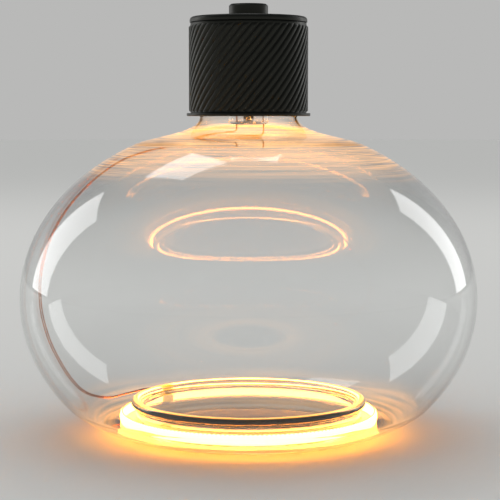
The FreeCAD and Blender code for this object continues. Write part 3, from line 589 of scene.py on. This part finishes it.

# %% [markdown]
# ## The glowing band
#
# The chips sit on a thin metal strip under a bead of silicone filled with yellow phosphor. Lit, the bead is
# far brighter than anything round it: one sees it nearly white, and only its reflections keep the amber
# colour. Hundreds of small lamps would be slow and noisy. So the bead gets an emission in amber, strong
# enough to clip where it is seen directly. The sleeve over the joint has no chip behind it. Its silicone
# only passes on what its neighbours send, so its weak emission is painted light: a duller, more yellow spot.

# %% Light the band
def glow(name, colour, strength, lump_mm=1.9):
    """Silicone lit from behind: amber light, and a skin that swells a little over each chip."""
    material, tree, shader = start_material(
        name, Roughness=0.4, Subsurface_Weight=0.3, Subsurface_Scale=0.6 * MM, Emission_Color=linear(colour),
        Emission_Strength=strength)
    place = add(tree, "ShaderNodeTexCoord").outputs["Object"]
    phosphor = add(tree, "ShaderNodeTexNoise", Vector=place, Scale=PER_METRE / lump_mm, Detail=3.0)
    tone = add(tree, "ShaderNodeMix", {"data_type": "RGBA"}, i0=phosphor.outputs[0], i6=linear("E9A83E"),
               i7=linear("F6CE7C"))
    bump = add(tree, "ShaderNodeBump", Strength=0.4, Distance=0.05 * MM, Height=phosphor.outputs[0])
    tree.links.new(tone.outputs[2], shader.inputs["Base Color"])
    tree.links.new(bump.outputs["Normal"], shader.inputs["Normal"])
    return material


lit_silicone = glow("phosphor_silicone_lit", "FF9D40", 40.0)
for band in ("phosphor_band_outer", "phosphor_band_inner"):
    paint(nodes[band], lit_silicone)
# Painted light: the sleeve has no chip behind it, so its weak emission is a painted glow.
paint(nodes["strip_joint"], glow("silicone_sleeve_painted_glow", "F2C21C", 1.3))
print("two bands lit, and the sleeve at the joint")

# %% [markdown]
# ## The row of chips
#
# Close up, the upper edge of the band is a dotted line. The dots are the chips, 1.9 mm apart, which stand a
# little above the silicone. An Array modifier on a circle would copy one chip round the strip too, but it
# couldn't skip the joint. Here a loop sets small blocks with softened edges, all in one mesh. Their lenses
# have less phosphor over them than the bead, so they are a paler, warm white.

# %% Set the chips
STRIP_CLEAR, STRIP_THICK, BAND_LIFT, BAND_HIGH, JOINT_AT, JOINT_HALF = 3.9, 0.3, 0.3, 3.9, 134.0, 4.2
CHIP_PITCH, CHIP_LONG, CHIP_THICK, CHIP_HIGH, CHIP_OFF = 1.9, 1.0, 0.22, 0.55, 0.02
CHIP_EDGE, CHIP_FRONT, CHIP_RISE = 0.6, 0.72, 0.45
strip_r = RIM[0] + RIM_ROUND + STRIP_CLEAR
band_top = FLOOR_Z + SEAT + BAND_LIFT + BAND_HIGH


def chip_row(name):
    """Blocks along the strip, each with its outer edges drawn in, and none where its ends meet."""
    face, middle = strip_r + STRIP_THICK + CHIP_OFF, band_top + CHIP_HIGH * CHIP_RISE
    count = round(2 * pi * face / CHIP_PITCH)
    vertices, faces = [], []
    for i in range(count):
        angle = 360 * i / count
        if abs((angle - JOINT_AT + 180) % 360 - 180) * pi / 180 * face < JOINT_HALF:
            continue
        out = Vector((cos(radians(angle)), sin(radians(angle)), 0))
        along = Vector((-out.y, out.x, 0))
        first = len(vertices)
        for depth, share in ((0, 1), (CHIP_THICK * CHIP_EDGE, 1), (CHIP_THICK, CHIP_FRONT)):
            for a, h in ((-1, -1), (1, -1), (1, 1), (-1, 1)):
                spot = out * (face + depth) + along * (a * CHIP_LONG / 2 * share)
                vertices.append((spot.x, spot.y, middle + h * CHIP_HIGH / 2 * share))
        for low in (first, first + 4):
            for k in range(4):
                n = (k + 1) % 4
                faces.append((low + k, low + n, low + 4 + n, low + 4 + k))
        faces += [(first + 3, first + 2, first + 1, first), tuple(range(first + 8, first + 12))]
    return mesh_piece(name, vertices, faces, smooth=False)


chips = chip_row("led_chips")
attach(chips, "bulb")
paint(chips, glow("chip_lens_lit", "FFC070", 9.0))
print("chips:", len(chips.data.vertices) // 12, "on a strip of radius", round(strip_r, 2), "mm")

# %% [markdown]
# ## Metals: drawn, rolled, stamped and plated
#
# Each metal starts from its own way of working. A drawn wire has lines along its length, rolled strip has a
# fine grain, stamped brass is a little uneven and darker where it has tarnished, and a plated thread is
# bright. One flat colour for each would be quicker, and would look like paint. One function mixes two tones
# of the metal in patches, and a finer noise moves the roughness and a shallow bump. Its size is given in
# millimetres. Real drawing lines and grain are finer than the picture can show, so they are drawn coarser.

# %% Metal finishes
def worked_metal(name, clean, dull, rough, mark_mm, stretch=(1, 1, 1), relief_mm=0.01, patch_mm=6):
    """Bare or plated metal: clean and dull patches, and marks that stretch the way it was worked."""
    material, tree, shader = start_material(name, Metallic=1.0)
    place = add(tree, "ShaderNodeTexCoord").outputs["Object"]
    scaled = add(tree, "ShaderNodeMapping", Vector=place,
                 Scale=[PER_METRE / mark_mm * share for share in stretch])
    marks = add(tree, "ShaderNodeTexNoise", Vector=scaled.outputs["Vector"], Scale=1.0, Detail=4.0)
    patches = add(tree, "ShaderNodeTexNoise", Vector=place, Scale=PER_METRE / patch_mm, Detail=3.0)
    spots = add(tree, "ShaderNodeMapRange", Value=patches.outputs[0], From_Min=0.45, From_Max=0.75)
    tone = add(tree, "ShaderNodeMix", {"data_type": "RGBA"}, i0=spots.outputs[0], i6=linear(clean),
               i7=linear(dull))
    sheen = add(tree, "ShaderNodeMapRange", Value=marks.outputs[0], From_Min=0.25, From_Max=0.75,
                To_Min=rough - 0.07, To_Max=rough + 0.1)
    bump = add(tree, "ShaderNodeBump", Strength=0.5, Distance=relief_mm * MM, Height=marks.outputs[0])
    for output, socket in ((bump.outputs["Normal"], "Normal"), (tone.outputs[2], "Base Color"),
                           (sheen.outputs[0], "Roughness")):
        tree.links.new(output, shader.inputs[socket])
    return material


metals = [
    # Copper-clad wire, drawn: warm and streaky along its length.
    (worked_metal("copper_clad_wire_drawn", "D08A5E", "A85F3C", rough=0.26, mark_mm=0.4,
                  stretch=(1, 1, 0.15)), ["lead_wire_plus", "lead_wire_minus", "contact_wire", "shell_wire"]),
    # Nickel plate on the rolled thread: bright, a little warm.
    (worked_metal("nickel_plated_brass_rolled", "D4CFC3", "B3AC9C", rough=0.2, mark_mm=0.5,
                  stretch=(0.3, 0.3, 2)), ["cap_shell"]),
    # Brass, stamped: soft yellow with duller spots.
    (worked_metal("brass_stamped", "D2AE66", "A9823F", rough=0.3, mark_mm=0.8),
     ["cap_contact", "holder_shell", "holder_contact", "terminal_live", "terminal_neutral"]),
    # Stainless strip, rolled: pale grey with a fine grain along the strip.
    (worked_metal("stainless_strip_rolled", "CFC8BB", "B4AC9E", rough=0.34, mark_mm=0.25, stretch=(1, 1, 3)),
     ["led_strip"]),
    # Zinc plate, blue-white and slightly cloudy.
    (worked_metal("zinc_plated_steel_screws", "C3C7CC", "9FA4AA", rough=0.3, mark_mm=0.6),
     ["terminal_screws", "insert_screws"]),
]
for metal, users in metals:
    for user in users:
        paint(nodes[user], metal)
print("metals:", len(metals), "on pieces:", sum(len(users) for metal, users in metals))

# %% [markdown]
# ## Ceramic, cement, pressed glass and the driver's plastics
#
# These only show when the lamp is unscrewed, and still tell what it is: glazed porcelain behind the thread,
# black glass between the two contacts, sandy cement round the neck, and small dull parts on a green board.
# The idea of the metals serves them too, two tones in clouds and a finer grain, with a clear coat where the
# surface is glazed or lacquered. Ferrite and moulding compound have a grain of a few hundredths of a
# millimetre, and it is drawn coarser so that it shows.

# %% Ceramic and plastic finishes
def moulded(name, light, dark, rough, grain_mm, relief_mm=0.02, cloud_mm=8, **coat):
    """A filling, moulded, baked or dipped: two tones in clouds, and a grain in roughness and relief."""
    material, tree, shader = start_material(name, **coat)
    place = add(tree, "ShaderNodeTexCoord").outputs["Object"]
    grain = add(tree, "ShaderNodeTexNoise", Vector=place, Scale=PER_METRE / grain_mm, Detail=4.0)
    cloud = add(tree, "ShaderNodeTexNoise", Vector=place, Scale=PER_METRE / cloud_mm, Detail=2.0)
    tone = add(tree, "ShaderNodeMix", {"data_type": "RGBA"}, i0=cloud.outputs[0], i6=linear(light),
               i7=linear(dark))
    sheen = add(tree, "ShaderNodeMapRange", Value=grain.outputs[0], To_Min=rough - 0.05, To_Max=rough + 0.08)
    bump = add(tree, "ShaderNodeBump", Strength=0.5, Distance=relief_mm * MM, Height=grain.outputs[0])
    for output, socket in ((bump.outputs["Normal"], "Normal"), (tone.outputs[2], "Base Color"),
                           (sheen.outputs[0], "Roughness")):
        tree.links.new(output, shader.inputs[socket])
    return material


fillings = [
    # Porcelain, glazed: white with a hint of cream under a glossy coat.
    (moulded("porcelain_glazed", "F0EDE6", "E2DCD0", rough=0.3, grain_mm=1.2, relief_mm=0.01,
             Coat_Weight=0.8, Coat_Roughness=0.05), ["holder_insert"]),
    # Black glass, pressed: almost a mirror, with soft press marks.
    (moulded("black_glass_pressed", "0B0B0D", "16161A", rough=0.12, grain_mm=3.0), ["cap_insulator"]),
    # Lamp cement, baked: sandy and quite rough.
    (moulded("lamp_cement_baked", "C6B89C", "A5957A", rough=0.85, grain_mm=0.35, relief_mm=0.08),
     ["cap_cement"]),
    # Glass-epoxy board under green lacquer: the weave shows as a fine grain.
    (moulded("glass_epoxy_board_lacquered", "22663F", "18502F", rough=0.38, grain_mm=0.5, relief_mm=0.015,
             Coat_Weight=0.4), ["driver_board"]),
    # Shrunk sleeve on the capacitor: dark blue, smooth.
    (moulded("vinyl_sleeve_shrunk", "1E2233", "151826", rough=0.34, grain_mm=1.5), ["smoothing_capacitor"]),
    # Ferrite, sintered: charcoal and matt.
    (moulded("ferrite_sintered", "302E2C", "232120", rough=0.72, grain_mm=0.2, relief_mm=0.03), ["choke"]),
    # Resistor lacquer, dipped: glossy blue-grey.
    (moulded("resistor_lacquer_dipped", "66849A", "54707F", rough=0.35, grain_mm=1.0, Coat_Weight=0.5),
     ["fuse_resistor"]),
    # Moulding compound: near black, with the fine spark texture of its mould.
    (moulded("epoxy_compound_moulded", "1B1B1C", "131314", rough=0.55, grain_mm=0.15, relief_mm=0.03),
     ["bridge_rectifier", "driver_chip"]),
]
for filling, users in fillings:
    for user in users:
        paint(nodes[user], filling)
print("fillings:", len(fillings), "on pieces:", sum(len(users) for filling, users in fillings))

# %% [markdown]
# ## The floor
#
# The set is a plain pale floor, painted matt. A square plane would do, but its corners could show at the
# horizon from some sides, so it is a wide disc. It lies a hair below the foot of the lamp, because two
# faces in the same plane flicker.

# %% Floor
FLOOR_REACH, FLOOR_DROP, FLOOR_STEPS = 9000, 0.05, 64
floor = lathe("studio_floor", [(FLOOR_REACH, -FLOOR_DROP), (0, -FLOOR_DROP)], FLOOR_STEPS)
paint(floor, start_material("painted_floor_matt", Base_Color=linear("D0CFCC"), Roughness=0.9,
                            Specular_IOR_Level=0.1)[0])
print("floor radius:", FLOOR_REACH * MM, "m")

# %% [markdown]
# ## Soft boxes
#
# Clear glass shows mostly what it mirrors, so the lamps are chosen for their reflections. Two tall soft
# boxes stand left and right behind the lamp: each face of the curved glass squeezes them into one of the
# long bright strips. Two smaller ones hang overhead and show as pale panes under the holder. Their power is
# worked out from the brightness wanted in the mirror image, so a box can change its size and stay as bright.

# %% Soft boxes
BOX_AWAY, BOX_AIM = 2200 * MM, Vector((0, 0, 80 * MM))
for name, turn, tilt, wide, high, brightness in (
        ("soft_box_left", 146, 18, 760, 1500, 1.8), ("soft_box_right", 39, 18, 560, 1500, 1.8),
        ("soft_box_top_left", 121, 58, 600, 620, 1.9), ("soft_box_top_right", 87, 54, 450, 700, 1.9)):
    side, up = radians(turn), radians(tilt)
    direction = Vector((cos(side) * cos(up), sin(side) * cos(up), sin(up)))
    lamp = bpy.data.lights.new(name, "AREA")
    lamp.shape, lamp.size, lamp.size_y = "RECTANGLE", wide * MM, high * MM
    lamp.energy = brightness * pi * lamp.size * lamp.size_y
    box = bpy.data.objects.new(name, lamp)
    bpy.context.scene.collection.objects.link(box)
    box.location = BOX_AIM + BOX_AWAY * direction
    box.rotation_euler = (-direction).to_track_quat("-Z", "Y").to_euler()
    print(name, "power", round(lamp.energy, 2), "W")

# %% [markdown]
# ## Backdrop and room light
#
# A white room all round would fill the glass with white and hide its form. A light path splits the world in
# two. The eye, the glass and the mirrors get a grey backdrop that darkens overhead, as a studio's does
# above the light, and every other ray gets an even white room, which lights the matt surfaces softly.

# %% World
world = bpy.data.worlds.new("studio")
bpy.context.scene.world = world
world.use_nodes = True
sky = world.node_tree
sky.nodes.clear()
rays = add(sky, "ShaderNodeLightPath")
clear = add(sky, "ShaderNodeMath", {"operation": "MAXIMUM"}, i0=rays.outputs["Is Camera Ray"],
            i1=rays.outputs["Is Transmission Ray"])
seen = add(sky, "ShaderNodeMath", {"operation": "MAXIMUM"}, i0=rays.outputs["Is Glossy Ray"],
           i1=clear.outputs[0])
around = add(sky, "ShaderNodeTexCoord")
parts = add(sky, "ShaderNodeSeparateXYZ", Vector=around.outputs["Generated"])
upward = add(sky, "ShaderNodeMapRange", {"interpolation_type": "SMOOTHSTEP"}, Value=parts.outputs["Z"],
             From_Min=0.07, From_Max=0.55)
fade = add(sky, "ShaderNodeMix", {"data_type": "RGBA"}, i0=upward.outputs[0], i6=linear("B9B9B8"),
           i7=linear("45474A"))
backdrop = add(sky, "ShaderNodeBackground", Color=fade.outputs[2], Strength=1.0)
room = add(sky, "ShaderNodeBackground", Color=linear("EEF0F1"), Strength=0.90)
mixed = add(sky, "ShaderNodeMixShader", i0=seen.outputs[0], i1=room.outputs[0], i2=backdrop.outputs[0])
add(sky, "ShaderNodeOutputWorld", Surface=mixed.outputs[0])
bpy.context.scene.view_settings.view_transform = "Standard"
print("world nodes:", len(sky.nodes))

# %% [markdown]
# ## Camera
#
# The camera stands 706 mm from the lamp's axis, 139.5 mm above the floor, and looks down a little. It could
# be set by eye, but the glass outline is sharp enough to fit it: these values put the outline within half a
# pixel. The focal length was fitted in pixels of the picture, so the sensor's width turns it into mm.

# %% Place the camera
CAMERA_AT, LOOK_DOWN = (0.66, -706, 139.5), 4.752
SENSOR_WIDE, FOCAL_PIXELS, PICTURE_PIXELS = 36.0, 1610.2, 500
lens = bpy.data.cameras.new("photo_camera")
lens.sensor_width, lens.lens = SENSOR_WIDE, SENSOR_WIDE * FOCAL_PIXELS / PICTURE_PIXELS
camera = bpy.data.objects.new("photo_camera", lens)
bpy.context.scene.collection.objects.link(camera)
camera.location = [v * MM for v in CAMERA_AT]
camera.rotation_euler = (radians(90 - LOOK_DOWN), 0, 0)
bpy.context.scene.camera = camera
print("camera lens:", round(lens.lens, 1), "mm")

# %% [markdown]
# ## Finish
#
# Dressing an object must not change its size. The last line updates the view layer of the scene.

# %% Finish
bpy.context.view_layer.update()
